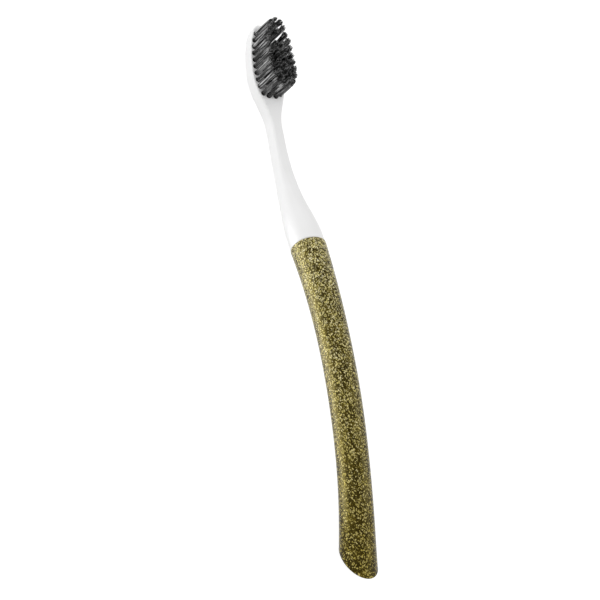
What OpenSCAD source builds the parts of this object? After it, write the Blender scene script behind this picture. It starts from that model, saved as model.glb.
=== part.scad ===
// Manual toothbrush with a head that pulls off its handle, all sizes in millimetres.
// The white head and neck are one moulding. Round tufts of bristle sit in its blind holes, each
// folded over a small metal anchor. A keyed tang on the collar plugs into the bowed handle.
// The brush lies on its back: +X runs to the tip of the head, +Z is the way the bristles point,
// and Z = 0 is the table, which the back of the plate and the heel of the handle both touch.

/* [Overall] */
// Length from the tip of the head to the far end of the handle
overall_length = 190; // [175:1:205]
// Length of the head piece from its tip to the seam, measured along X
head_length = 81; // [76:0.1:86]
// Slope of the brush at the seam, in degrees
seam_angle = 12.7; // [10:0.1:15]

/* [Plate] */
// Width of the plate at its widest
plate_width = 11.8; // [11.5:0.1:13.5]
// Thickness of the plate
plate_thick = 5.1; // [5:0.1:6.5]
// Distance from the tip of the head to the widest place of the plate
plate_widest = 18.7; // [17.5:0.1:19.5]
// Distance from the tip of the head to where the neck takes over
plate_length = 36.5; // [35:0.1:39]
// Rounding of the plate's edge on the bristle side
plate_top_r = 0.5; // [0.3:0.05:0.6]
// Rounding of the plate's edge on the back
plate_back_r = 1.6; // [1:0.1:2.1]

/* [Neck] */
// Width of the neck at its slimmest
neck_width = 4.2; // [3.8:0.1:5.4]
// Thickness of the neck at its slimmest
neck_thick = 5.1; // [4.6:0.1:5.1]
// Rounding of the slim neck's corners
neck_corner_r = 1.1; // [0.7:0.05:1.6]
// Length over which the neck runs on straight from the plate
neck_straight = 7.3; // [3:0.1:12]
// Slope of the neck where its bend ends, in degrees
neck_angle = 16; // [15.5:0.1:19]

/* [Collar] */
// Length of the collar behind the neck's bend, over which the slope eases off again
collar_length = 11; // [7:0.1:14]
// Length over which the collar keeps its full width up to the seam
collar_land = 2.7; // [1.5:0.1:5]
// Step from the handle's rim in to the collar
collar_step = 0.2; // [0.1:0.05:0.5]
// Rounding of the rims that meet at the seam
rim_r = 0.4; // [0.1:0.05:0.5]

/* [Handle] */
// Width of the handle at the seam
seam_width = 11.8; // [11:0.1:13]
// Width of the handle at its slimmest
waist_width = 10.4; // [10:0.1:11]
// Width of the handle at the middle of its slanted end
butt_width = 11.9; // [11:0.1:13]
// Length over which the handle narrows below the seam
seam_flare_length = 41; // [30:1:55]
// Length over which the handle widens towards its end
butt_flare_length = 37; // [25:1:50]
// Thickness of the handle as a share of its width
handle_thick_share = 0.97; // [0.85:0.01:1]
// Angle between the slanted end face and the handle's line, in degrees
butt_cut_angle = 44; // [35:1:60]
// Rounding of the edge of the slanted end face
butt_edge_r = 0.8; // [0.4:0.1:1.5]

/* [Tang] */
// Diameter of the tang that plugs into the handle
tang_d = 5.8; // [5:0.1:6.2]
// Length of the tang
tang_length = 15; // [12:0.5:18]
// Depth of the flat that keys the tang
tang_flat = 0.8; // [0.5:0.1:1.2]
// Length of the tapered tip of the tang
tang_taper = 1.2; // [0.6:0.1:2]
// Gap between the tang and the wall of the socket
tang_clear = 0.1; // [0.08:0.01:0.2]
// Gap between the friction ribs and the wall of the socket
rib_clear = 0.02; // [0.01:0.01:0.05]
// Radius of a friction rib
rib_r = 0.35; // [0.3:0.05:0.5]

/* [Bristles] */
// Free length of the bristles above the plate
bristle_length = 10.4; // [9:0.1:12]
// Diameter of a tuft where it enters the plate
tuft_d = 1.6; // [1.55:0.05:1.7]
// Distance between neighbouring tufts of a row
tuft_pitch = 2.4; // [2.35:0.05:2.5]
// Distance from the plate's edge to the outer tufts at their widest
tuft_margin = 1.65; // [1.55:0.05:1.75]
// Distance from the tip of the head to the first tuft of the centre row
centre_row_start = 2.5; // [2.4:0.05:2.7]
// Distance from the tip of the head to the first pair of the outer rows
outer_row_start = 3.55; // [3.5:0.05:3.7]
// Distance from the tip of the head to the first pair of the inner rows
inner_row_start = 11.55; // [11.3:0.05:11.9]
// Distance between the two inner rows
inner_row_gap = 2.6; // [2.5:0.05:2.8]
// Width of one bristle strand across its flats
strand_width = 0.27; // [0.2:0.01:0.27]
// Distance by which a tuft has spread at its tips
tip_spread = 0.15; // [0.1:0.01:0.2]

/* [Tuft seats] */
// Depth of a tuft hole
hole_depth = 3.3; // [3:0.1:3.6]
// Gap between a tuft and the wall of its hole
hole_clear = 0.05; // [0.03:0.01:0.08]
// Height of an anchor strip
anchor_height = 1.5; // [1.2:0.1:1.8]
// Thickness of an anchor strip
anchor_thick = 0.25; // [0.2:0.01:0.3]
// Depth to which an anchor bites into the wall of its hole at each end
anchor_bite = 0.1; // [0.06:0.01:0.15]

/* [Hidden] */
// Colours of the materials
handle_colour = [0.42, 0.40, 0.22];
head_colour = [0.94, 0.94, 0.94];
bristle_colour = [0.12, 0.12, 0.13];
anchor_colour = [0.80, 0.68, 0.40];

// Sides of the bores and of the tang
$fn = 48;
// Points in each corner of the head piece's sections, and round the handle's sections
corner_points = 7;
oval_points = 36;
// Sections along the nose, shoulder, neck and collar of the head piece, and along the handle
nose_steps = 13;
shoulder_steps = 10;
neck_steps = 15;
land_steps = 2;
rim_steps = 3;
handle_steps = 32;
butt_steps = 4;
// Powers that shape the plate's nose and shoulders, the neck's flare, and the front and rear of
// the tuft field
nose_power = 1.56;
shoulder_power = 1.07;
flare_power = 1.5;
field_front_power = 2;
field_rear_power = 3;
// How round a fully rounded corner is, as a share of the half width it rounds
round_share = 0.97;
// Part of the flare over which the neck's corners grow fully round, as shares of its length
rounding_from_share = 0.15;
rounding_to_share = 0.75;
// Flat left at the very tip of the plate
nose_land = 0.1;
// Straight stretch at the end of the handle
butt_straight = 8;
// Length over which the handle's sections lean over to the slanted end
butt_lean_length = 26;
// Distance by which cuts run past a face, and by which joined shapes run into each other
overrun = 1;
// Chamfer at the mouth of the socket, and the space left beyond the tang
mouth_chamfer = 0.4;
socket_spare = 0.8;
// Distance of the friction ribs from the seam and from the taper, and their places round the tang
rib_margin = 1.5;
rib_angles = [110, 180, 250];
// Thickness of bristle folded under an anchor, and the gap round the anchor inside the tuft
fold_thick = 0.4;
anchor_clear = 0.03;
// Depth of a tuft's solid root below the plate's face, and how far the strands run into it
root_drop = 0.1;
strand_root = 0.4;
// Distance of the tuft field's widest place ahead of that of the plate, and of its rear and front
// ends beyond the last and the first outer pair
field_lead = 0.6;
field_rear_spare = 2.05;
field_front_spare = 1.4;
// Largest lean of a tuft at its tips, and the unevenness of strands across and along
tuft_lean = 0.18;
strand_waver = 0.03;
strand_uneven = 0.12;
// Strands in the ring and in the core of a tuft, and the core's radius as a share of the ring's
ring_strands = 9;
core_strands = 3;
core_share = 0.39;
// Turn from one tuft's strands to the next one's, in degrees
tuft_turn = 137.5;
// Tufts in the centre row, and pairs in the outer and inner rows
centre_tufts = 3;
outer_pairs = 10;
inner_pairs = 7;

// Small helpers
function smooth(x) = let (c = min(max(x, 0), 1)) c * c * (3 - 2 * c);
function wave(x) = 0.5 - 0.5 * cos(180 * min(max(x, 0), 1));
function mix(a, b, share) = a + (b - a) * share;
function arc_length(radius, angle) = radius * angle * PI / 180;
function arc_angle(radius, run) = run / radius * 180 / PI;

// A place on the spine is [x, z, slope], where slope is how steeply the spine climbs away from
// the head. A point of a section lies run beyond that place, y to the left and h above the spine.
function off_spine(place, run, y, h) = [
    place.x - run * cos(place.z) + h * sin(place.z),
    y,
    place.y + run * sin(place.z) + h * cos(place.z)];
// The spine at a distance along an arc that leaves a place and bends up by the given radius
function along_arc(place, radius, run) = let (slope = place.z + arc_angle(radius, run)) [
    place.x - radius * (sin(slope) - sin(place.z)),
    place.y + radius * (cos(place.z) - cos(slope)),
    slope];
function along_line(place, run) = [
    place.x - run * cos(place.z),
    place.y + run * sin(place.z),
    place.z];

// Spine of the head piece: straight through the plate and the slim neck, then an arc that climbs,
// then the collar's arc, over which the slope eases off towards the bow of the handle
tip_x = overall_length / 2 + nose_land;
straight_run = plate_length + neck_straight;
bend_place = [tip_x - straight_run, plate_thick / 2, 0];
collar_bend_r = collar_length / (neck_angle - seam_angle) * 180 / PI;
collar_reach = collar_bend_r * (sin(neck_angle) - sin(seam_angle));
neck_bend_r = (head_length - straight_run - collar_reach) / sin(neck_angle);
collar_run = straight_run + arc_length(neck_bend_r, neck_angle);
collar_place = along_arc(bend_place, neck_bend_r, collar_run - straight_run);
head_run = collar_run + collar_length;
seam_place = along_arc(collar_place, -collar_bend_r, collar_length);
function head_spine(d) = d < straight_run ? [tip_x - d, plate_thick / 2, 0]
    : d < collar_run ? along_arc(bend_place, neck_bend_r, d - straight_run)
    : along_arc(collar_place, -collar_bend_r, d - collar_run);

// Half width of the plate and neck at a distance from the tip
plate_half = plate_width / 2;
neck_half = neck_width / 2;
collar_half = seam_width / 2 - collar_step;
collar_half_thick = seam_width / 2 * handle_thick_share - collar_step;
function nose_half(d) = plate_half * sqrt(1 - pow((plate_widest - d) / plate_widest, nose_power));
function shoulder_half(d) = let (x = (d - plate_widest) / (plate_length - plate_widest))
    mix(plate_half, neck_half, wave(pow(x, shoulder_power)));
function flare_share(d) = max(d - plate_length, 0) / (head_run - collar_land - plate_length);
function flare(d) = wave(pow(flare_share(d), flare_power));
function head_half(d) = d < plate_widest ? nose_half(d)
    : d < plate_length ? shoulder_half(d)
    : mix(neck_half, collar_half, flare(d));

// Outline of a section with rounded corners, given its half width, its top and bottom,
// and the reach of its corners across and down, on the bristle side and on the back
function corner(y, h, reach, drop, start) = [for (i = [0:corner_points])
    let (a = start + 90 * i / corner_points) [y + reach * cos(a), h + drop * sin(a)]];
function section(half, top, bottom, top_reach, top_drop, back_reach, back_drop) = concat(
    corner(half - top_reach, top - top_drop, top_reach, top_drop, 0),
    corner(top_reach - half, top - top_drop, top_reach, top_drop, 90),
    corner(back_reach - half, bottom + back_drop, back_reach, back_drop, 180),
    corner(half - back_reach, bottom + back_drop, back_reach, back_drop, 270));

// Height that a rounded edge still has at a distance inside the outline
function edge_left(d, r) = d < r ? sqrt(r * r - pow(r - d, 2)) : r;

// Section of the plate: its edges also round over towards the tip, and reach the neck's shape
function plate_section(d) = let (
    share = smooth((d - plate_widest) / (plate_length - plate_widest)),
    half = head_half(d),
    rise = mix(plate_thick, neck_thick, share) / 2,
    top_r = mix(plate_top_r, neck_corner_r, share),
    back_r = mix(plate_back_r, neck_corner_r, share),
    top_left = edge_left(d, top_r),
    back_left = edge_left(d, back_r))
    section(half, rise - top_r + top_left, back_r - back_left - rise,
        min(top_r, half * round_share), top_left, min(back_r, half * round_share), back_left);

// Section of the neck: slim with small corners, then wider and rounder up to the collar
function neck_section(d) = let (
    share = flare(d),
    half = head_half(d),
    rise = mix(neck_thick / 2, collar_half_thick, share),
    round = smooth((flare_share(d) - rounding_from_share) / (rounding_to_share - rounding_from_share)),
    reach = mix(neck_corner_r, half * round_share, round),
    drop = mix(neck_corner_r, rise * round_share, round))
    section(half, rise, -rise, reach, drop, reach, drop);

function head_section(d) = d < plate_length ? plate_section(d) : neck_section(d);
function head_ring(d) = [for (p = head_section(d)) off_spine(head_spine(d), 0, p.x, p.y)];
// Ring of the collar's rounded rim, drawn in by an inset and moved back from the seam
function collar_ring(inset, back) = [for (p = head_section(head_run))
    off_spine(seam_place, -back, p.x * (1 - inset / collar_half), p.y * (1 - inset / collar_half_thick))];

nose_stations = [for (i = [0:nose_steps - 1])
    nose_land + (plate_widest - nose_land) * (1 - cos(90 * i / nose_steps))];
shoulder_stations = [for (i = [0:shoulder_steps - 1])
    mix(plate_widest, plate_length, i / shoulder_steps)];
neck_stations = [for (i = [0:neck_steps - 1])
    mix(plate_length, head_run - collar_land, i / neck_steps)];
land_stations = [for (i = [0:land_steps - 1])
    mix(head_run - collar_land, head_run - rim_r, i / land_steps)];
head_rings = concat(
    [for (d = concat(nose_stations, shoulder_stations, neck_stations, land_stations)) head_ring(d)],
    [for (i = [0:rim_steps]) let (a = 90 * i / rim_steps)
        collar_ring(rim_r * (1 - cos(a)), rim_r * (1 - sin(a)))]);

// Width of the handle at a distance from the seam and at a distance from the middle of its end
function seam_flare(run) = (seam_width - waist_width) * pow(max(1 - run / seam_flare_length, 0), 2);
function butt_flare(left) = (butt_width - waist_width) * pow(max(1 - left / butt_flare_length, 0), 2);
function butt_half_thick(left) = (waist_width + butt_flare(left)) / 2 * handle_thick_share;

// The slanted end face: height above the spine, on its edge, of the point at an angle round the
// handle, where 0 is the bristle side and 180 is the back
cut_slope = 1 / tan(butt_cut_angle);
function cut_height(angle, guess = 0, turns = 4) = turns == 0 ? guess
    : cut_height(angle, butt_half_thick(-cut_slope * guess) * cos(angle), turns - 1);
// Profile of the rounded edge at that angle: pairs of the run beyond the end place and the height
function edge_profile(angle) = let (edge = cut_height(angle)) [for (i = [0:butt_steps])
    let (a = 90 * i / butt_steps, h = edge - butt_edge_r * (1 - cos(a)) * cos(angle))
    [cut_slope * h - butt_edge_r * (1 - sin(a)), h]];

// The end place for a given slope there: the far tip reaches the overall length, and the heel
// comes down onto the table
function end_place(slope) = let (
    tip_reach = min([for (p = edge_profile(0)) off_spine([0, 0, slope], p.x, 0, p.y).x]),
    heel_reach = min([for (p = edge_profile(180)) off_spine([0, 0, slope], p.x, 0, p.y).z]))
    [-overall_length / 2 - tip_reach, -heel_reach, slope];
// Slope at the end of the arc that leaves the seam and reaches the end place's straight stretch
function end_slope(slope, turns = 6) = turns == 0 ? slope : let (
    start = along_line(end_place(slope), -butt_straight),
    climb = atan2(start.y - seam_place.y, seam_place.x - start.x))
    end_slope(2 * climb - seam_angle, turns - 1);
butt_slope = end_slope(-seam_angle);
butt_place = end_place(butt_slope);
bow_end = along_line(butt_place, -butt_straight);
bow_angle = seam_angle - butt_slope;
bow_chord = norm([bow_end.x - seam_place.x, bow_end.y - seam_place.y]);
bow_r = bow_chord / 2 / sin(bow_angle / 2);
bow_run = arc_length(bow_r, bow_angle);
handle_run = bow_run + butt_straight;

function handle_spine(run) = run < bow_run
    ? along_arc(seam_place, -bow_r, run)
    : along_line(bow_end, run - bow_run);
function handle_half(run) = (waist_width + seam_flare(run) + butt_flare(handle_run - run)) / 2;
// A point of the handle's skin at a run from the seam and an angle round it, drawn in by an inset
function skin_point(run, angle, inset = 0) = let (half = handle_half(run))
    off_spine(handle_spine(run), 0,
        (half - inset) * sin(angle), (half * handle_thick_share - inset) * cos(angle));
function oval_angle(i) = 90 - 360 * i / oval_points;
function rim_ring(a) = [for (i = [0:oval_points - 1])
    skin_point(rim_r * (1 - cos(a)), oval_angle(i), rim_r * (1 - sin(a)))];
// Sections of the handle lean over, little by little, to the slant of the end face
function lean(run) = cut_slope * smooth(1 - (handle_run - run) / butt_lean_length);
function body_ring(run) = [for (i = [0:oval_points - 1])
    let (h = handle_half(run) * handle_thick_share * cos(oval_angle(i)))
    skin_point(run + lean(run) * h, oval_angle(i))];
function butt_ring(step) = [for (i = [0:oval_points - 1])
    let (angle = oval_angle(i),
        edge = edge_profile(angle)[step],
        left = -cut_slope * cut_height(angle),
        inset = butt_edge_r * (1 - cos(90 * step / butt_steps)),
        half = (waist_width + butt_flare(left)) / 2)
    off_spine(butt_place, edge.x, (half - inset) * sin(angle), edge.y)];
handle_stations = [for (i = [1:handle_steps - 1]) rim_r + (handle_run - rim_r) * i / handle_steps];
handle_rings = concat(
    [for (i = [0:rim_steps]) rim_ring(90 * i / rim_steps)],
    [for (run = handle_stations) body_ring(run)],
    [for (step = [0:butt_steps]) butt_ring(step)]);

// Skin over a row of rings with equal numbers of points, closed flat at both ends
module loft(rings) {
    n = len(rings[0]);
    last = (len(rings) - 1) * n;
    sides = [for (i = [0:len(rings) - 2], j = [0:n - 1])
        let (a = i * n + j, b = i * n + (j + 1) % n) each [[a, b, b + n], [a, b + n, a + n]]];
    front = [for (j = [1:n - 2]) [0, j + 1, j]];
    back = [for (j = [1:n - 2]) [last, last + j, last + j + 1]];
    polyhedron([for (ring = rings) each ring], concat(sides, front, back));
}

// Places its children at the seam, with Z into the handle and X to the bristle side
module at_seam() {
    translate([seam_place.x, 0, seam_place.y])
        rotate([0, seam_angle - 90, 0])
            children();
}

// Round bar with one flat along Z, from one overrun before the seam to its end, and its taper there
module keyed_bar(r, flat, end, taper) {
    difference() {
        rotate_extrude()
            polygon([[0, -overrun], [r, -overrun], [r, end - taper], [r - taper / 2, end], [0, end]]);
        translate([flat, -r - overrun, -2 * overrun])
            cube([r, 2 * (r + overrun), end + 3 * overrun]);
    }
}

// Tang: a keyed bar with a tapered tip and three friction ribs
tang_r = tang_d / 2;
key_flat = tang_r - tang_flat;
socket_r = tang_r + tang_clear;
rib_place = socket_r - rib_clear - rib_r;
rib_length = tang_length - tang_taper - 2 * rib_margin;
module tang() {
    keyed_bar(tang_r, key_flat, tang_length, tang_taper);
    for (a = rib_angles)
        rotate([0, 0, a])
            translate([rib_place, 0, rib_margin])
                cylinder(r = rib_r, h = rib_length);
}

module socket() {
    keyed_bar(socket_r, key_flat + tang_clear, tang_length + socket_spare, socket_spare);
    translate([0, 0, -overrun])
        cylinder(r1 = socket_r + mouth_chamfer + overrun, r2 = socket_r,
            h = mouth_chamfer + overrun);
}

module handle() {
    color(handle_colour)
        difference() {
            loft(handle_rings);
            at_seam() socket();
        }
}

// Tufts: name, distance from the tip of the head, and distance to the left of the middle
field_half = plate_half - tuft_margin;
field_widest = plate_widest - field_lead;
field_front = field_widest - outer_row_start + field_front_spare;
field_rear = outer_row_start + (outer_pairs - 1) * tuft_pitch + field_rear_spare - field_widest;
function outer_row_y(d) = field_half * sqrt(d < field_widest
    ? 1 - pow((field_widest - d) / field_front, field_front_power)
    : 1 - pow((d - field_widest) / field_rear, field_rear_power));
function side_name(side) = side > 0 ? "left_" : "right_";
tufts = concat(
    [for (k = [1:centre_tufts]) [str("tuft_centre_", k), centre_row_start + (k - 1) * tuft_pitch, 0]],
    [for (k = [1:outer_pairs], side = [1, -1]) let (d = outer_row_start + (k - 1) * tuft_pitch)
        [str("tuft_outer_", side_name(side), k), d, side * outer_row_y(d)]],
    [for (k = [1:inner_pairs], side = [1, -1]) let (d = inner_row_start + (k - 1) * tuft_pitch)
        [str("tuft_inner_", side_name(side), k), d, side * inner_row_gap / 2]]);
module at_tuft(t) {
    translate([tip_x - t[1], t[2], plate_thick])
        children();
}

hole_r = tuft_d / 2 + hole_clear;
module brush_head() {
    color(head_colour)
        difference() {
            union() {
                loft(head_rings);
                at_seam() tang();
            }
            for (t = tufts)
                at_tuft(t)
                    translate([0, 0, -hole_depth])
                        cylinder(r = hole_r, h = hole_depth + overrun);
        }
}

// Anchor: a strip across the hole, with the bristles folded under it
anchor_width = 2 * (hole_r + anchor_bite);
anchor_middle = -hole_depth + hole_clear + fold_thick + anchor_height / 2;
module strip(width, spare) {
    translate([0, 0, anchor_middle])
        cube([anchor_thick + 2 * spare, width, anchor_height + 2 * spare], center = true);
}
module tuft_anchors() {
    color(anchor_colour)
        for (t = tufts)
            at_tuft(t) strip(anchor_width, 0);
}

// One strand: four sides from a foot to a tip, both [x, y, z]
strand_r = strand_width / sqrt(2);
module strand(foot, tip, turn) {
    loft([for (end = [tip, foot])
        [for (i = [0:3]) let (a = turn - 45 + 90 * i) end + strand_r * [cos(a), sin(a), 0]]]);
}

// Ring and core of strands in a tuft: [radius, angle] of each
ring_r = tuft_d / 2 - strand_r;
strand_places = concat(
    [for (i = [0:ring_strands - 1]) [ring_r, 360 * i / ring_strands]],
    [for (i = [0:core_strands - 1]) [ring_r * core_share, 360 * i / core_strands]]);
module tuft(number) {
    count = len(strand_places);
    waver = rands(-1, 1, 3 * count, number);
    lean_to = rands(0, 360, 1, number)[0];
    lean = tuft_lean * [cos(lean_to), sin(lean_to), 0];
    color(bristle_colour)
        at_tuft(tufts[number]) {
            difference() {
                translate([0, 0, hole_clear - hole_depth])
                    cylinder(r = tuft_d / 2, h = hole_depth - hole_clear - root_drop);
                strip(tuft_d + 2 * overrun, anchor_clear);
            }
            for (i = [0:count - 1]) {
                angle = strand_places[i][1] + number * tuft_turn;
                way = [cos(angle), sin(angle), 0];
                spread = tip_spread * strand_places[i][0] / ring_r;
                foot = strand_places[i][0] * way - [0, 0, root_drop + strand_root];
                across = strand_waver * [waver[3 * i], waver[3 * i + 1], 0];
                along = [0, 0, bristle_length + strand_uneven * (waver[3 * i + 2] - 1) / 2];
                tip = (strand_places[i][0] + spread) * way + lean + across + along;
                strand(foot, tip, angle);
            }
        }
}

handle();
brush_head();
tuft_anchors();
for (number = [0:len(tufts) - 1])
    tuft(number);
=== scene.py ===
import math
import random

import bmesh
import bpy
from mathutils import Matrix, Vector


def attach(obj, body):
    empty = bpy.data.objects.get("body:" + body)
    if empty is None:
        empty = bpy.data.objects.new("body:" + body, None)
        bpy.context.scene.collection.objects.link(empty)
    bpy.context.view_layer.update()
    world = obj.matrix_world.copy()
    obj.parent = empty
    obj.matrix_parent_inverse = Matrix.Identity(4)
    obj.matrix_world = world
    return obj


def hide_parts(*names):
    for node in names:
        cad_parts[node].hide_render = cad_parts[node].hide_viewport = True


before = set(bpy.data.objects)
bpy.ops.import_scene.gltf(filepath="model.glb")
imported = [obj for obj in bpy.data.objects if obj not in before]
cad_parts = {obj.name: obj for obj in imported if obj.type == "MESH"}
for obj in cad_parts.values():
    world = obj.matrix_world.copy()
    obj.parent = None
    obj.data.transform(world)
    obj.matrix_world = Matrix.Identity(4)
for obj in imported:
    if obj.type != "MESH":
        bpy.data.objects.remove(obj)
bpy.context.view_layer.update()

print("toothbrush frame loaded,", len(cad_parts), "nodes")

# Shapes are worked out in millimetres and become metres when their mesh is made
metre = 0.001
noiseLow, noiseHigh = 0.3, 0.7      # most values of a noise lie between these
mixFactor, mixFirst, mixSecond, mixResult = 0, 6, 7, 2      # sockets of a colour mix


def smooth(x):
    x = min(max(x, 0), 1)
    return x * x * (3 - 2 * x)


def wave(x):
    return 0.5 - 0.5 * math.cos(math.pi * min(max(x, 0), 1))


def mix(a, b, share):
    return a + (b - a) * share


# A place on the spine is (x, z, slope), the slope in radians, climbing away from the head
def offSpine(place, run, y, h):
    x, z, slope = place
    across, up = math.cos(slope), math.sin(slope)
    return Vector((x - run * across + h * up, y, z + run * up + h * across))


def alongArc(place, radius, run):
    x, z, slope = place
    newSlope = slope + run / radius
    return (x - radius * (math.sin(newSlope) - math.sin(slope)),
            z + radius * (math.cos(slope) - math.cos(newSlope)), newSlope)


def alongLine(place, run):
    x, z, slope = place
    return (x - run * math.cos(slope), z + run * math.sin(slope), slope)


def closeRows(mesh, rows):
    # faces between rows with equal numbers of mesh points, and one over each end
    count = len(rows[0])
    for row, nextRow in zip(rows, rows[1:]):
        for i in range(count):
            j = (i + 1) % count
            mesh.faces.new((row[i], row[j], nextRow[j], nextRow[i]))
    mesh.faces.new(rows[0])
    mesh.faces.new(list(reversed(rows[-1])))


def skin(mesh, rings):
    closeRows(mesh, [[mesh.verts.new(point * metre) for point in ring] for ring in rings])


def pieceFrom(name, mesh):
    bmesh.ops.recalc_face_normals(mesh, faces=mesh.faces)
    data = bpy.data.meshes.new(name)
    mesh.to_mesh(data)
    mesh.free()
    piece = bpy.data.objects.new(name, data)
    bpy.context.scene.collection.objects.link(piece)
    return piece


def carve(piece, tool, way):
    # joins or cuts with an exact boolean and keeps the result as the piece's own mesh
    cut = piece.modifiers.new("carve", "BOOLEAN")
    cut.operation = way
    cut.solver = "EXACT"
    cut.object = tool
    bpy.context.view_layer.update()
    shown = piece.evaluated_get(bpy.context.evaluated_depsgraph_get())
    result = bpy.data.meshes.new_from_object(shown)
    piece.modifiers.remove(cut)
    piece.data = result
    bpy.data.objects.remove(tool)


def dress(piece, body, material, nodes, sharpAngle):
    for face in piece.data.polygons:
        face.use_smooth = True
    piece.data.set_sharp_from_angle(angle=math.radians(sharpAngle))
    piece.data.materials.clear()
    piece.data.materials.append(material)
    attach(piece, body)
    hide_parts(*nodes)


def evenNormals(piece):
    even = piece.modifiers.new("even normals", "WEIGHTED_NORMAL")
    even.keep_sharp = True


def newMaterial(name):
    material = bpy.data.materials.new(name)
    material.use_nodes = True
    tree = material.node_tree
    return material, tree, tree.nodes["Principled BSDF"]


def addNode(tree, kind, **values):
    node = tree.nodes.new(kind)
    for key, value in values.items():
        if hasattr(node, key):
            setattr(node, key, value)
        else:
            node.inputs[key.replace("_", " ")].default_value = value
    return node


def rampOf(tree, source, stops):
    ramp = tree.nodes.new("ShaderNodeValToRGB")
    points = ramp.color_ramp.elements
    points[0].position, points[0].color = stops[0][0], (*stops[0][1], 1)
    points[1].position, points[1].color = stops[-1][0], (*stops[-1][1], 1)
    for place, colour in stops[1:-1]:
        points.new(place).color = (*colour, 1)
    tree.links.new(source, ramp.inputs["Fac"])
    return ramp.outputs["Color"]


def grey(value):
    return (value, value, value)


def noiseRamp(tree, source, low, high):
    return rampOf(tree, source, [(noiseLow, low), (noiseHigh, high)])


def mapRange(tree, source, values, **more):
    # values are from the lowest and highest coming in, to the two going out
    node = addNode(tree, "ShaderNodeMapRange", **more)
    for socket, value in zip(node.inputs[1:5], values):
        socket.default_value = value
    tree.links.new(source, node.inputs["Value"])
    return node.outputs["Result"]


def scaledPlace(tree, scale):
    # object coordinates times a scale per axis, in cells per metre
    place = addNode(tree, "ShaderNodeTexCoord")
    stretch = addNode(tree, "ShaderNodeVectorMath", operation="MULTIPLY")
    stretch.inputs[1].default_value = scale
    tree.links.new(place.outputs["Object"], stretch.inputs[0])
    return stretch.outputs["Vector"]


def bumpFrom(tree, height, strength, distance):
    bump = addNode(tree, "ShaderNodeBump", Strength=strength, Distance=distance)
    tree.links.new(height, bump.inputs["Height"])
    return bump.outputs["Normal"]


def mathOf(tree, operation, first, second):
    step = addNode(tree, "ShaderNodeMath", operation=operation)
    for value, socket in zip((first, second), step.inputs):
        if isinstance(value, (int, float)):
            socket.default_value = value
        else:
            tree.links.new(value, socket)
    return step.outputs["Value"]


# Speckled composite of the handle: pale plant flecks and dark gaps in an olive resin
composite = dict(
    # each layer of flecks: turn about Y and Z in degrees, length and width in mm, strength,
    # and rarity, which leaves fewer bright flecks where it is higher
    flecks=[(10, 20, 1.20, 0.33, 2.4, 3.4), (-16, -26, 1.05, 0.31, 2.3, 3.2),
            (35, 50, 0.85, 0.32, 2.2, 3.0), (-30, 70, 1.60, 0.62, 2.0, 9)],
    edgeFrom=0.32, edgeTo=0.48,     # how sharply a fleck ends
    # how finely and how far flecks are bent: cells per metre, detail, metres
    warpScale=1500, warpDetail=2, warpReach=0.00028,
    # noises that shade the resin: scale, detail, roughness and share
    patch=(260, 3, 0.6, 0.4), mottle=(2600, 4, 0.7, 0.6),
    resin=[(0.42, (0.013, 0.0075, 0.0002)), (0.51, (0.030, 0.019, 0.0010)),
           (0.58, (0.105, 0.078, 0.010)), (0.65, (0.340, 0.280, 0.080))],
    # leaf, cream and bone flecks
    tones=[(0.34, (0.64, 0.56, 0.19)), (0.60, (0.84, 0.76, 0.42)), (0.80, (0.99, 0.93, 0.64))],
    # painted shade, darker and yellower towards its end: from and to along X, by how much there,
    # and how much rarer the pale flecks get
    paintedShadeFrom=0.01, paintedShadeTo=-0.09, paintedShadeTone=(0.66, 0.60, 0.34), paintedShadeRarity=3.2,
    roughness=(0.20, 0.32), specular=0.24, specularTint=(1.0, 0.84, 0.20),
    bump=0.45, bumpDepth=0.00005,
)


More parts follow.
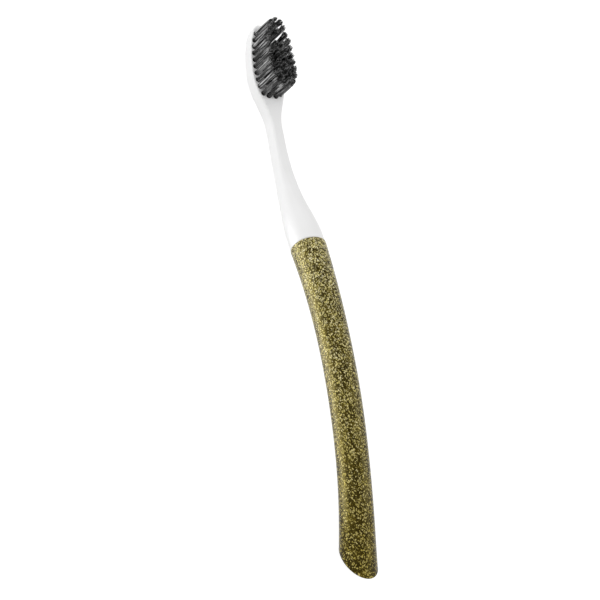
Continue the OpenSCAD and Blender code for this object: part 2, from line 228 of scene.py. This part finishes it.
def compositeMaterial():
    c = composite
    material, tree, shader = newMaterial("speckled composite")
    link = tree.links.new
    place = scaledPlace(tree, (1, 1, 1))
    # noise bends the flecks, so none keeps straight sides
    warp = addNode(tree, "ShaderNodeTexNoise", Scale=c["warpScale"], Detail=c["warpDetail"])
    link(place, warp.inputs["Vector"])
    shift = addNode(tree, "ShaderNodeVectorMath", operation="MULTIPLY_ADD")
    shift.inputs[1].default_value = grey(c["warpReach"])
    link(warp.outputs["Color"], shift.inputs[0])
    link(place, shift.inputs[2])
    amount = hue = None
    for turnY, turnZ, length, width, strength, rarity in c["flecks"]:
        lie = addNode(tree, "ShaderNodeMapping", vector_type="TEXTURE")
        lie.inputs["Rotation"].default_value = (0, math.radians(turnY), math.radians(turnZ))
        lie.inputs["Scale"].default_value = (length * metre, width * metre, width * metre)
        link(shift.outputs["Vector"], lie.inputs["Vector"])
        cell = addNode(tree, "ShaderNodeTexVoronoi", Scale=1)
        link(lie.outputs["Vector"], cell.inputs["Vector"])
        split = addNode(tree, "ShaderNodeSeparateColor")
        link(cell.outputs["Color"], split.inputs["Color"])
        edge = mapRange(tree, cell.outputs["Distance"], (c["edgeFrom"], c["edgeTo"], strength, 0),
                        interpolation_type="SMOOTHSTEP")
        pale = mathOf(tree, "POWER", split.outputs["Red"], rarity)
        fleck = mathOf(tree, "MULTIPLY", pale, edge)
        amount = fleck if amount is None else mathOf(tree, "MAXIMUM", amount, fleck)
        green = split.outputs["Green"]
        hue = green if hue is None else mathOf(tree, "ADD", hue, green)
    noises = []
    for scale, detail, roughness, share in (c["patch"], c["mottle"]):
        noise = addNode(tree, "ShaderNodeTexNoise", Scale=scale, Detail=detail, Roughness=roughness)
        link(place, noise.inputs["Vector"])
        noises.append((noise.outputs["Fac"], share))
    mottle = noises[-1][0]
    depth = mathOf(tree, "ADD", *(mathOf(tree, "MULTIPLY", *pair) for pair in noises))
    fleckTone = rampOf(tree, mathOf(tree, "DIVIDE", hue, len(c["flecks"])), c["tones"])
    along = addNode(tree, "ShaderNodeSeparateXYZ")
    link(place, along.inputs["Vector"])
    # painted shade: its share along X, from none near the seam to full at the end
    held = mapRange(tree, along.outputs["X"], (c["paintedShadeFrom"], c["paintedShadeTo"], 0, 1))
    blend = addNode(tree, "ShaderNodeMix", data_type="RGBA")
    # where the painted shade darkens it only the brightest flecks are left
    rarer = mathOf(tree, "ADD", mathOf(tree, "MULTIPLY", held, c["paintedShadeRarity"]), 1)
    link(mathOf(tree, "POWER", amount, rarer), blend.inputs[mixFactor])
    link(rampOf(tree, depth, c["resin"]), blend.inputs[mixFirst])
    link(fleckTone, blend.inputs[mixSecond])
    # painted shade: the colour darkens towards the end of the handle
    darker = addNode(tree, "ShaderNodeVectorMath", operation="MULTIPLY")
    link(blend.outputs[mixResult], darker.inputs[0])
    link(rampOf(tree, held, [(0, grey(1)), (1, c["paintedShadeTone"])]), darker.inputs[1])
    link(darker.outputs["Vector"], shader.inputs["Base Color"])
    link(noiseRamp(tree, mottle, *map(grey, c["roughness"])), shader.inputs["Roughness"])
    relief = mathOf(tree, "ADD", amount, mottle)
    link(bumpFrom(tree, relief, c["bump"], c["bumpDepth"]), shader.inputs["Normal"])
    shader.inputs["Specular IOR Level"].default_value = c["specular"]
    shader.inputs["Specular Tint"].default_value = (*c["specularTint"], 1)
    return material


# Satin white moulding of the head piece
whitePlastic = dict(
    colour=(0.92, 0.92, 0.92), shade=(0.90, 0.90, 0.8955), roughness=(0.42, 0.48), specular=0.3,
    cloudScale=90, cloudDetail=3, grainScale=5200, grainDetail=2, bump=0.12, bumpDepth=0.00002,
)


def whiteMaterial():
    w = whitePlastic
    material, tree, shader = newMaterial("white moulding")
    place = scaledPlace(tree, (1, 1, 1))
    cloud = addNode(tree, "ShaderNodeTexNoise", Scale=w["cloudScale"], Detail=w["cloudDetail"])
    fine = addNode(tree, "ShaderNodeTexNoise", Scale=w["grainScale"], Detail=w["grainDetail"])
    tree.links.new(place, cloud.inputs["Vector"])
    tree.links.new(place, fine.inputs["Vector"])
    colour = noiseRamp(tree, cloud.outputs["Fac"], w["shade"], w["colour"])
    tree.links.new(colour, shader.inputs["Base Color"])
    rough = noiseRamp(tree, fine.outputs["Fac"], *map(grey, w["roughness"]))
    tree.links.new(rough, shader.inputs["Roughness"])
    relief = bumpFrom(tree, fine.outputs["Fac"], w["bump"], w["bumpDepth"])
    tree.links.new(relief, shader.inputs["Normal"])
    shader.inputs["Specular IOR Level"].default_value = w["specular"]
    return material


# Black filament: pale lines along it are painted glints, and painted shade darkens it towards its
# foot and its rounded tip
blackNylon = dict(
    paintedGlints=[(0.44, 0.002), (0.52, 0.045), (0.60, 0.60)],
    streakScale=1900, streakDetail=2, streakLength=0.05,
    # painted shade: the colour share falls towards the foot, among the tufts, and towards the
    # rounded tip
    paintedShadeHeights=[(0.0051, 0.25), (0.0068, 1.0), (0.0140, 1.0), (0.0153, 0.5)],  # metres above table
    roughness=(0.24, 0.38), specular=0.5,
)


def nylonMaterial():
    n = blackNylon
    material, tree, shader = newMaterial("black filament")
    place = scaledPlace(tree, (1, 1, n["streakLength"]))
    streak = addNode(tree, "ShaderNodeTexNoise", Scale=n["streakScale"], Detail=n["streakDetail"])
    tree.links.new(place, streak.inputs["Vector"])
    # painted highlight: pale lines in the colour stand in for gloss glinting along the filaments
    pale = rampOf(tree, streak.outputs["Fac"],
                  [(stop, grey(value)) for stop, value in n["paintedGlints"]])
    split = addNode(tree, "ShaderNodeSeparateXYZ")
    tree.links.new(scaledPlace(tree, (1, 1, 1)), split.inputs["Vector"])
    low, high = n["paintedShadeHeights"][0][0], n["paintedShadeHeights"][-1][0]
    height = mathOf(tree, "DIVIDE", mathOf(tree, "SUBTRACT", split.outputs["Z"], low), high - low)
    # painted shade: the colour darkens by height towards the foot and the tip
    shade = rampOf(tree, height,
                   [((z - low) / (high - low), grey(value)) for z, value in n["paintedShadeHeights"]])
    colour = addNode(tree, "ShaderNodeVectorMath", operation="MULTIPLY")
    tree.links.new(pale, colour.inputs[0])
    tree.links.new(shade, colour.inputs[1])
    tree.links.new(colour.outputs["Vector"], shader.inputs["Base Color"])
    rough = noiseRamp(tree, streak.outputs["Fac"], *map(grey, n["roughness"]))
    tree.links.new(rough, shader.inputs["Roughness"])
    shader.inputs["Specular IOR Level"].default_value = n["specular"]
    return material


# Brass strip of the anchors, with drawing lines along it
anchorBrass = dict(
    bright=(0.80, 0.62, 0.30), dull=(0.62, 0.45, 0.20), roughness=(0.40, 0.27),
    lineScale=6000, lineDetail=3, lineLength=0.1, bump=0.2, bumpDepth=0.00001,
)


def brassMaterial():
    b = anchorBrass
    material, tree, shader = newMaterial("anchor strip")
    place = scaledPlace(tree, (1, b["lineLength"], 1))
    line = addNode(tree, "ShaderNodeTexNoise", Scale=b["lineScale"], Detail=b["lineDetail"])
    tree.links.new(place, line.inputs["Vector"])
    colour = noiseRamp(tree, line.outputs["Fac"], b["dull"], b["bright"])
    tree.links.new(colour, shader.inputs["Base Color"])
    rough = noiseRamp(tree, line.outputs["Fac"], *map(grey, b["roughness"]))
    tree.links.new(rough, shader.inputs["Roughness"])
    relief = bumpFrom(tree, line.outputs["Fac"], b["bump"], b["bumpDepth"])
    tree.links.new(relief, shader.inputs["Normal"])
    shader.inputs["Metallic"].default_value = 1
    return material


# Head piece: plate, slim neck and collar in one moulding
head = dict(
    tip=95.1, landAtTip=0.1,
    plateWidth=11.8, plateThick=5.1, plateWidest=18.7, plateLength=36.5,
    topRound=0.5, backRound=1.6, nosePower=1.56, shoulderPower=1.07,
    neckWidth=4.2, neckThick=5.1, neckRound=1.1, neckStraight=7.3, neckSlope=16,
    flarePower=1.5, roundFrom=0.15, roundTo=0.75, roundShare=0.97,
    length=81, collarLength=11, collarLand=2.7, collarStep=0.2, rimRound=0.4,
    cornerPoints=14, noseSteps=26, shoulderSteps=36, neckSteps=64, landSteps=4, rimSteps=6,
    sharpAngle=32,
)
# Handle: a bowed oval bar with a slanted end
handle = dict(
    length=190, seamSlope=12.7, seamWidth=11.8, waistWidth=10.4, buttWidth=11.9,
    seamFlare=41, buttFlare=37, thickShare=0.97, cutAngle=44, edgeRound=0.8,
    straight=8, leanLength=26, sides=112, steps=170, edgeSteps=9, sharpAngle=32,
    # points that find how far the end reaches, and rounds that settle its cut and its slope
    reachSteps=4, cutTurns=4, slopeTurns=6,
)
seamSlope = math.radians(handle["seamSlope"])
neckSlope = math.radians(head["neckSlope"])
straightRun = head["plateLength"] + head["neckStraight"]
bendPlace = (head["tip"] - straightRun, head["plateThick"] / 2, 0)
collarBend = head["collarLength"] / (neckSlope - seamSlope)
collarReach = collarBend * (math.sin(neckSlope) - math.sin(seamSlope))
neckBend = (head["length"] - straightRun - collarReach) / math.sin(neckSlope)
collarRun = straightRun + neckBend * neckSlope
collarPlace = alongArc(bendPlace, neckBend, collarRun - straightRun)
headRun = collarRun + head["collarLength"]
seamPlace = alongArc(collarPlace, -collarBend, head["collarLength"])
collarHalf = handle["seamWidth"] / 2 - head["collarStep"]
collarRise = handle["seamWidth"] / 2 * handle["thickShare"] - head["collarStep"]


def headSpine(d):
    if d < straightRun:
        return (head["tip"] - d, head["plateThick"] / 2, 0)
    if d < collarRun:
        return alongArc(bendPlace, neckBend, d - straightRun)
    return alongArc(collarPlace, -collarBend, d - collarRun)


def flareShare(d):
    return max(d - head["plateLength"], 0) / (headRun - head["collarLand"] - head["plateLength"])


def headHalf(d):
    plateHalf, neckHalf = head["plateWidth"] / 2, head["neckWidth"] / 2
    if d < head["plateWidest"]:
        ahead = (head["plateWidest"] - d) / head["plateWidest"]
        return plateHalf * math.sqrt(1 - ahead ** head["nosePower"])
    if d < head["plateLength"]:
        x = (d - head["plateWidest"]) / (head["plateLength"] - head["plateWidest"])
        return mix(plateHalf, neckHalf, wave(x ** head["shoulderPower"]))
    return mix(neckHalf, collarHalf, wave(flareShare(d) ** head["flarePower"]))


def corner(y, h, reach, drop, start):
    steps = head["cornerPoints"]
    angles = [math.radians(start + 90 * i / steps) for i in range(steps + 1)]
    return [(y + reach * math.cos(a), h + drop * math.sin(a)) for a in angles]


def section(half, top, bottom, topReach, topDrop, backReach, backDrop):
    return (corner(half - topReach, top - topDrop, topReach, topDrop, 0)
            + corner(topReach - half, top - topDrop, topReach, topDrop, 90)
            + corner(backReach - half, bottom + backDrop, backReach, backDrop, 180)
            + corner(half - backReach, bottom + backDrop, backReach, backDrop, 270))


def edgeLeft(d, radius):
    return math.sqrt(radius ** 2 - (radius - d) ** 2) if d < radius else radius


def headSection(d):
    half = headHalf(d)
    if d < head["plateLength"]:
        share = smooth((d - head["plateWidest"]) / (head["plateLength"] - head["plateWidest"]))
        rise = mix(head["plateThick"], head["neckThick"], share) / 2
        top = mix(head["topRound"], head["neckRound"], share)
        back = mix(head["backRound"], head["neckRound"], share)
        topLeft, backLeft = edgeLeft(d, top), edgeLeft(d, back)
        return section(half, rise - top + topLeft, back - backLeft - rise,
                       min(top, half * head["roundShare"]), topLeft,
                       min(back, half * head["roundShare"]), backLeft)
    share = wave(flareShare(d) ** head["flarePower"])
    rise = mix(head["neckThick"] / 2, collarRise, share)
    rounding = smooth((flareShare(d) - head["roundFrom"]) / (head["roundTo"] - head["roundFrom"]))
    reach = mix(head["neckRound"], half * head["roundShare"], rounding)
    drop = mix(head["neckRound"], rise * head["roundShare"], rounding)
    return section(half, rise, -rise, reach, drop, reach, drop)


def headRing(d):
    return [offSpine(headSpine(d), 0, y, h) for y, h in headSection(d)]


def collarRing(inset, back):
    return [offSpine(seamPlace, -back, y * (1 - inset / collarHalf), h * (1 - inset / collarRise))
            for y, h in headSection(headRun)]


def headRings():
    h = head
    landFrom = headRun - h["collarLand"]
    runs = [h["landAtTip"] + (h["plateWidest"] - h["landAtTip"])
            * (1 - math.cos(math.pi / 2 * i / h["noseSteps"])) for i in range(h["noseSteps"])]
    runs += [mix(h["plateWidest"], h["plateLength"], i / h["shoulderSteps"])
             for i in range(h["shoulderSteps"])]
    runs += [mix(h["plateLength"], landFrom, i / h["neckSteps"]) for i in range(h["neckSteps"])]
    runs += [mix(landFrom, headRun - h["rimRound"], i / h["landSteps"])
             for i in range(h["landSteps"])]
    turns = [math.pi / 2 * i / h["rimSteps"] for i in range(h["rimSteps"] + 1)]
    return ([headRing(d) for d in runs]
            + [collarRing(h["rimRound"] * (1 - math.cos(a)), h["rimRound"] * (1 - math.sin(a)))
               for a in turns])


# Tang that plugs into the handle, its socket, and the bars that carve them
tang = dict(
    diameter=5.8, length=15, flat=0.8, taper=1.2, clear=0.1,
    ribRadius=0.35, ribClear=0.02, ribMargin=1.5, ribAngles=(110, 180, 250),
    spare=0.8, mouth=0.4, overrun=1, sides=64, ribSides=20,
)


def seamPoint(x, y, z):
    # z runs into the handle, x to the bristle side
    return offSpine(seamPlace, z, y, x)


def keyedRing(radius, flat, z):
    start = math.acos(min(flat / radius, 1))
    angles = [mix(start, 2 * math.pi - start, i / tang["sides"]) for i in range(tang["sides"] + 1)]
    return [seamPoint(radius * math.cos(a), radius * math.sin(a), z) for a in angles]


def roundRing(x, y, radius, z, sides):
    angles = [2 * math.pi * i / sides for i in range(sides)]
    return [seamPoint(x + radius * math.cos(a), y + radius * math.sin(a), z) for a in angles]


def keyedBar(name, radius, flat, end, taper):
    mesh = bmesh.new()
    tipRadius = radius - taper / 2
    skin(mesh, [keyedRing(radius, flat, -tang["overrun"]), keyedRing(radius, flat, end - taper),
                keyedRing(tipRadius, flat, end)])
    return pieceFrom(name, mesh)


def ribBars():
    t = tang
    place = t["diameter"] / 2 + t["clear"] - t["ribClear"] - t["ribRadius"]
    length = t["length"] - t["taper"] - 2 * t["ribMargin"]
    mesh = bmesh.new()
    for angle in t["ribAngles"]:
        a = math.radians(angle)
        x, y = place * math.cos(a), place * math.sin(a)
        skin(mesh, [roundRing(x, y, t["ribRadius"], z, t["ribSides"])
                    for z in (t["ribMargin"], t["ribMargin"] + length)])
    return pieceFrom("rib_bars", mesh)


# The field of tufts: distances run from the tip of the head and from its middle line
field = dict(
    pitch=2.4, margin=1.65, centreStart=2.5, outerStart=3.55, innerStart=11.55, innerGap=2.6,
    lead=0.6, rearSpare=2.05, frontSpare=1.4, frontPower=2, rearPower=3,
    centreTufts=3, outerPairs=10, innerPairs=7,
    holeRadius=0.85, holeDepth=3.3, mouthBreak=0.07, overrun=1, holeSides=40,
)


def tuftPlaces():
    # name, distance from the tip of the head, and distance to the left of its middle line
    f = field
    half = head["plateWidth"] / 2 - f["margin"]
    widest = head["plateWidest"] - f["lead"]
    front = widest - f["outerStart"] + f["frontSpare"]
    rear = f["outerStart"] + (f["outerPairs"] - 1) * f["pitch"] + f["rearSpare"] - widest

    def outerY(d):
        if d < widest:
            return half * math.sqrt(1 - ((widest - d) / front) ** f["frontPower"])
        return half * math.sqrt(1 - ((d - widest) / rear) ** f["rearPower"])

    places = [(f"centre_{k + 1}", f["centreStart"] + k * f["pitch"], 0)
              for k in range(f["centreTufts"])]
    for k in range(f["outerPairs"]):
        d = f["outerStart"] + k * f["pitch"]
        places += [(f"outer_left_{k + 1}", d, outerY(d)), (f"outer_right_{k + 1}", d, -outerY(d))]
    for k in range(f["innerPairs"]):
        d = f["innerStart"] + k * f["pitch"]
        places += [(f"inner_left_{k + 1}", d, f["innerGap"] / 2),
                   (f"inner_right_{k + 1}", d, -f["innerGap"] / 2)]
    return places


def holeBars(places):
    # one bar a hole, with the edge of its mouth broken
    f = field
    radius, edge = f["holeRadius"], f["mouthBreak"]
    levels = [(-f["holeDepth"], radius), (-edge, radius), (0, radius + edge),
              (f["overrun"], radius + edge)]
    angles = [2 * math.pi * i / f["holeSides"] for i in range(f["holeSides"])]
    mesh = bmesh.new()
    for _, d, y in places:
        centre = Vector((head["tip"] - d, y, head["plateThick"]))
        skin(mesh, [[centre + Vector((r * math.cos(a), r * math.sin(a), z)) for a in angles]
                    for z, r in levels])
    return pieceFrom("hole_bars", mesh)


def makeHead(material, places):
    t = tang
    mesh = bmesh.new()
    skin(mesh, headRings())
    piece = pieceFrom("head_moulding", mesh)
    radius = t["diameter"] / 2
    bar = keyedBar("tang_bar", radius, radius - t["flat"], t["length"], t["taper"])
    carve(bar, ribBars(), "UNION")
    carve(piece, bar, "UNION")
    carve(piece, holeBars(places), "DIFFERENCE")
    dress(piece, "head", material, ["brush_head"], head["sharpAngle"])
    evenNormals(piece)


# How far the slanted end runs on for each millimetre of height
cutSlope = 1 / math.tan(math.radians(handle["cutAngle"]))


def buttFlare(left):
    h = handle
    return (h["buttWidth"] - h["waistWidth"]) * max(1 - left / h["buttFlare"], 0) ** 2


def seamFlare(run):
    h = handle
    return (h["seamWidth"] - h["waistWidth"]) * max(1 - run / h["seamFlare"], 0) ** 2


def cutHeight(angle):
    # height above the spine of the slanted end's edge, at an angle round the handle
    height = 0
    for _ in range(handle["cutTurns"]):
        half = (handle["waistWidth"] + buttFlare(-cutSlope * height)) / 2 * handle["thickShare"]
        height = half * math.cos(angle)
    return height


def edgeProfile(angle, steps):
    edge, r = cutHeight(angle), handle["edgeRound"]
    profile = []
    for i in range(steps + 1):
        a = math.pi / 2 * i / steps
        height = edge - r * (1 - math.cos(a)) * math.cos(angle)
        profile.append((cutSlope * height - r * (1 - math.sin(a)), height))
    return profile


def endPlace(slope):
    # the far tip reaches the overall length, and the heel comes down onto the table
    tip, heel = ([offSpine((0, 0, slope), run, 0, h)
                  for run, h in edgeProfile(angle, handle["reachSteps"])] for angle in (0, math.pi))
    tipReach, heelReach = min(point.x for point in tip), min(point.z for point in heel)
    return (-handle["length"] / 2 - tipReach, -heelReach, slope)


buttSlope = -seamSlope
for _ in range(handle["slopeTurns"]):
    start = alongLine(endPlace(buttSlope), -handle["straight"])
    climb = math.atan2(start[1] - seamPlace[1], seamPlace[0] - start[0])
    buttSlope = 2 * climb - seamSlope
buttPlace = endPlace(buttSlope)
bowEnd = alongLine(buttPlace, -handle["straight"])
bowAngle = seamSlope - buttSlope
bowChord = math.hypot(bowEnd[0] - seamPlace[0], bowEnd[1] - seamPlace[1])
bowRadius = bowChord / 2 / math.sin(bowAngle / 2)
bowRun = bowRadius * bowAngle
handleRun = bowRun + handle["straight"]


def handleSpine(run):
    if run < bowRun:
        return alongArc(seamPlace, -bowRadius, run)
    return alongLine(bowEnd, run - bowRun)


def skinPoint(run, angle, inset=0):
    half = (handle["waistWidth"] + seamFlare(run) + buttFlare(handleRun - run)) / 2
    return offSpine(handleSpine(run), 0, (half - inset) * math.sin(angle),
                    (half * handle["thickShare"] - inset) * math.cos(angle))


def bodyRing(run, angles):
    # sections lean over, little by little, to the slant of the end
    half = (handle["waistWidth"] + seamFlare(run) + buttFlare(handleRun - run)) / 2
    lean = cutSlope * smooth(1 - (handleRun - run) / handle["leanLength"])
    return [skinPoint(run + lean * half * handle["thickShare"] * math.cos(a), a) for a in angles]


def handleRings():
    h, rim = handle, head["rimRound"]
    angles = [math.pi / 2 - 2 * math.pi * i / h["sides"] for i in range(h["sides"])]
    turns = [math.pi / 2 * i / head["rimSteps"] for i in range(head["rimSteps"] + 1)]
    rings = [[skinPoint(rim * (1 - math.cos(turn)), a, rim * (1 - math.sin(turn))) for a in angles]
             for turn in turns]
    rings += [bodyRing(rim + (handleRun - rim) * i / h["steps"], angles)
              for i in range(1, h["steps"])]
    profiles = [edgeProfile(a, h["edgeSteps"]) for a in angles]
    for step in range(h["edgeSteps"] + 1):
        inset = h["edgeRound"] * (1 - math.cos(math.pi / 2 * step / h["edgeSteps"]))
        ring = []
        for a, profile in zip(angles, profiles):
            half = (h["waistWidth"] + buttFlare(-cutSlope * cutHeight(a))) / 2
            ring.append(offSpine(buttPlace, profile[step][0], (half - inset) * math.sin(a),
                                 profile[step][1]))
        rings.append(ring)
    return rings


def makeHandle(material):
    t = tang
    mesh = bmesh.new()
    skin(mesh, handleRings())
    piece = pieceFrom("handle_moulding", mesh)
    socket = t["diameter"] / 2 + t["clear"]
    cone = bmesh.new()
    skin(cone, [roundRing(0, 0, socket + t["mouth"] + t["overrun"], -t["overrun"], t["sides"]),
                roundRing(0, 0, socket, t["mouth"], t["sides"])])
    carve(piece, pieceFrom("mouth_cone", cone), "DIFFERENCE")
    carve(piece, keyedBar("socket_bar", socket, socket - t["flat"], t["length"] + t["spare"],
                          t["spare"]), "DIFFERENCE")
    dress(piece, "handle", material, ["handle"], handle["sharpAngle"])
    evenNormals(piece)


# One tuft: filaments folded under the anchor, so each has two free ends
tuft = dict(
    filament=0.19, spacing=0.205, bundle=0.705, free=10.4,
    # close packing: rows a side, their step in spacings, and the most filaments either way
    rows=4, rowStep=0.866, rowReach=5,
    anchorGap=0.24, anchorStep=0.155, anchorPinch=0.85, anchorTop=-1.2, anchorFoot=-2.75,
    foldDeep=0.25, foldStep=0.06, foldSteps=6,
    spread=(0.18, 0.36), innerSpread=0.18, lateSpread=2.4, lean=0.22, waver=0.10, uneven=0.40,
    bow=0.12, sides=6, sharpAngle=50,
    levels=(1, 0.8, 0.6, 0.4, 0.2, 0),      # shares of the free length, from the tip down
    dome=((0.0, 0.42), (0.42, 0.86)),       # back from the tip, and width, in shares of the radius
    # tufts that brushing has set over: towards the head's tip, to the left, and how far they spread
    setOver={
        "outer_left_1": (-0.45, -0.1, 0.25), "outer_left_4": (-0.25, 0.30, 0.15),
        "centre_1": (-0.38, -0.15, -0.14), "centre_2": (-0.1, 0.1, 0.2),
        "centre_3": (0.1, 0.2, 0.3),
        "outer_right_1": (-0.45, -0.12, 0.20), "outer_right_2": (-0.02, 0.30, 0.26),
        "outer_right_3": (-0.08, 0.70, 0.33), "outer_right_4": (0.08, 0.38, 0.28),
        "outer_right_5": (0.03, 0.52, 0.32), "outer_right_6": (-0.24, 0.66, 0.32),
        "outer_right_7": (-0.20, 0.62, 0.34), "outer_right_8": (-0.20, 0.46, 0.34),
        "outer_right_9": (-0.04, 0.43, 0.35), "outer_right_10": (0.01, 0.80, 0.35),
        "inner_right_1": (-0.35, 0.15, 0.25), "inner_left_1": (-0.3, 0.1, 0.3),
    },
)


def pairPlaces():
    # half of a close-packed bundle: (row away from the anchor, x, y)
    t = tuft
    places = []
    for row in range(t["rows"]):
        x = t["spacing"] * t["rowStep"] * (row + 0.5)
        reach = math.sqrt(max(t["bundle"] ** 2 - x * x, 0))
        first = t["spacing"] / 2 if row % 2 else 0
        across = (first + t["spacing"] * k for k in range(-t["rowReach"], t["rowReach"] + 1))
        places += [(row, x, y) for y in across if abs(y) <= reach]
    return places


def ringAbout(mesh, centre, along, radius, turn):
    # the paths never run along Y, so Y serves as the ring's side direction
    across = along.cross(Vector((0, 1, 0))).normalized()
    side = across.cross(along).normalized()
    ring = []
    for i in range(tuft["sides"]):
        a = turn + 2 * math.pi * i / tuft["sides"]
        ring.append(mesh.verts.new((centre + radius * (math.cos(a) * across + math.sin(a) * side))
                                   * metre))
    return ring


def filamentTube(mesh, path, radius, turn):
    ways = [(b - a).normalized() for a, b in zip(path, path[1:])]
    alongs = [ways[0]] + [(a + b).normalized() for a, b in zip(ways, ways[1:])] + [ways[-1]]
    first, last = ways[0], ways[-1]
    dome = tuft["dome"] + ((1, 1),)
    rings = [ringAbout(mesh, path[0] + first * back * radius, first, radius * share, turn)
             for back, share in dome]
    rings += [ringAbout(mesh, point, along, radius, turn)
              for point, along in zip(path[1:-1], alongs[1:-1])]
    rings += [ringAbout(mesh, path[-1] - last * back * radius, last, radius * share, turn)
              for back, share in reversed(dome)]
    closeRows(mesh, rings)


def makeTuft(name, d, y, material):
    t = tuft
    draw = random.Random(name)
    centre = Vector((head["tip"] - d, y, head["plateThick"]))
    leanWay = draw.uniform(0, 2 * math.pi)
    lean = Vector((math.cos(leanWay), math.sin(leanWay), 0)) * draw.uniform(0, t["lean"])
    spread = draw.uniform(*t["spread"]) + (t["innerSpread"] if "inner" in name else 0)
    if name in t["setOver"]:
        forward, left, spread = t["setOver"][name]
        lean = Vector((forward, left, 0))
    radius = t["filament"] / 2
    mesh = bmesh.new()
    for row, x, across in pairPlaces():
        ends = []
        for side in (1, -1):
            foot = Vector((side * x, across, 0))
            top = foot * (1 + spread / t["bundle"]) + lean
            top += Vector((draw.uniform(-1, 1), draw.uniform(-1, 1), 0)) * t["waver"]
            bend = Vector((draw.uniform(-1, 1), draw.uniform(-1, 1), 0)) * t["bow"]
            height = t["free"] - draw.uniform(0, t["uneven"])
            free = [foot + (top - foot) * s ** t["lateSpread"] + bend * s * (1 - s)
                    + Vector((0, 0, height * s)) for s in t["levels"]]
            held = side * (t["anchorGap"] + t["anchorStep"] * row)
            free.append(Vector((held, across * t["anchorPinch"], t["anchorTop"])))
            ends.append(free)
        held = t["anchorGap"] + t["anchorStep"] * row
        deep = t["foldDeep"] + t["foldStep"] * row
        fold = [Vector((held * math.cos(a), across * t["anchorPinch"],
                        t["anchorFoot"] - deep * math.sin(a)))
                for a in (math.pi * i / t["foldSteps"] for i in range(t["foldSteps"] + 1))]
        path = ends[0] + fold + list(reversed(ends[1]))
        filamentTube(mesh, [centre + p for p in path], radius, draw.uniform(0, math.pi))
    piece = pieceFrom("filaments_" + name, mesh)
    dress(piece, "head", material, ["tuft_" + name], t["sharpAngle"])


places = tuftPlaces()
makeHead(whiteMaterial(), places)
print("head moulding made")
makeHandle(compositeMaterial())
print("handle moulding made")
nylon = nylonMaterial()
for name, d, y in places:
    makeTuft(name, d, y, nylon)
print(len(places), "tufts made")
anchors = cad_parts["tuft_anchors"]
anchors.data.materials.clear()
anchors.data.materials.append(brassMaterial())
print("anchors finished")

# Floor and backdrop: white to the camera and in reflections, and it keeps the brush's shadow
studio = dict(
    floorSize=4, floorDrop=0.00004,     # metres; the drop keeps the floor off the plate's flat back
    floorColour=0.95, floorGlow=0.90, floorShade=0.30, ambient=0.575,
)


def whiteRays(tree):
    rays = addNode(tree, "ShaderNodeLightPath")
    seen = mathOf(tree, "MAXIMUM", rays.outputs["Is Camera Ray"], rays.outputs["Is Glossy Ray"])
    return mathOf(tree, "MAXIMUM", seen, rays.outputs["Is Transmission Ray"])


def makeFloor():
    s = studio
    half = s["floorSize"] / 2
    mesh = bmesh.new()
    corners = [(-half, -half), (half, -half), (half, half), (-half, half)]
    mesh.faces.new([mesh.verts.new((x, y, -s["floorDrop"])) for x, y in corners])
    floor = pieceFrom("table_top", mesh)
    material, tree, shader = newMaterial("table")
    tree.nodes.remove(shader)
    plain = addNode(tree, "ShaderNodeBsdfDiffuse", Color=(*grey(s["floorColour"]), 1))
    shade = addNode(tree, "ShaderNodeBsdfDiffuse", Color=(*grey(s["floorShade"]), 1))
    glow = addNode(tree, "ShaderNodeEmission", Strength=s["floorGlow"])
    both = addNode(tree, "ShaderNodeAddShader")
    choose = addNode(tree, "ShaderNodeMixShader")
    link = tree.links.new
    link(shade.outputs[0], both.inputs[0])
    link(glow.outputs[0], both.inputs[1])
    link(whiteRays(tree), choose.inputs[0])
    link(plain.outputs[0], choose.inputs[1])
    link(both.outputs[0], choose.inputs[2])
    link(choose.outputs[0], tree.nodes["Material Output"].inputs["Surface"])
    floor.data.materials.append(material)


def makeWorld():
    world = bpy.data.worlds.new("studio")
    bpy.context.scene.world = world
    world.use_nodes = True
    tree = world.node_tree
    backdrop = tree.nodes["Background"]
    backdrop.inputs["Color"].default_value = (1, 1, 1, 1)
    strength = mathOf(tree, "MAXIMUM", whiteRays(tree), studio["ambient"])
    tree.links.new(strength, backdrop.inputs["Strength"])


# Soft boxes: where each stands, where it points, its size and radiance, and whether it gives
# gloss only
lamps = dict(
    leftStrip=dict(place=(0.33, 0.52, 0.06), target=(0.02, 0, 0.01), size=(0.16, 0.12),
                   radiance=13.5),
    # leans on the table beside the handle
    leftCard=dict(place=(-0.023, 0.052, 0.0095), target=(-0.023, -0.051, 0.4985),
                  size=(0.104, 0.078), radiance=8.2, glossOnly=True),
    leftHigh=dict(place=(0.1, 0.5, 0.35), target=(0, 0, 0.005), size=(0.3, 0.3), radiance=1.8),
    rightHigh=dict(place=(0, -0.4, 0.45), target=(0, 0, 0.005), size=(0.3, 0.3), radiance=3.4),
)


def makeLamps():
    for name, lamp in lamps.items():
        data = bpy.data.lights.new(name, "AREA")
        data.shape = "RECTANGLE"
        data.size, data.size_y = lamp["size"]
        data.energy = lamp["radiance"] * math.pi * data.size * data.size_y
        light = bpy.data.objects.new(name, data)
        light.location = lamp["place"]
        light.visible_camera = False
        light.visible_diffuse = not lamp.get("glossOnly", False)
        aim = Vector(lamp["target"]) - Vector(lamp["place"])
        light.rotation_euler = aim.to_track_quat("-Z", "Y").to_euler()
        bpy.context.scene.collection.objects.link(light)


# The photo's viewpoint: lens and sensor in mm, place in metres, turns in degrees
photoView = dict(
    lens=170.403, sensor=36, near=0.01, far=20, place=(-0.309497, 0.468286, 0.702738),
    turns=(26.1915, -29.3966, -101.5781),
)


def makeCamera():
    v = photoView
    data = bpy.data.cameras.new("photo_view")
    data.lens, data.sensor_width = v["lens"], v["sensor"]
    data.clip_start, data.clip_end = v["near"], v["far"]
    camera = bpy.data.objects.new("photo_view", data)
    camera.location = v["place"]
    camera.rotation_euler = [math.radians(turn) for turn in v["turns"]]
    bpy.context.scene.collection.objects.link(camera)
    bpy.context.scene.camera = camera


makeFloor()
makeWorld()
makeLamps()
makeCamera()
bpy.context.scene.view_settings.view_transform = "Standard"
print("studio set")
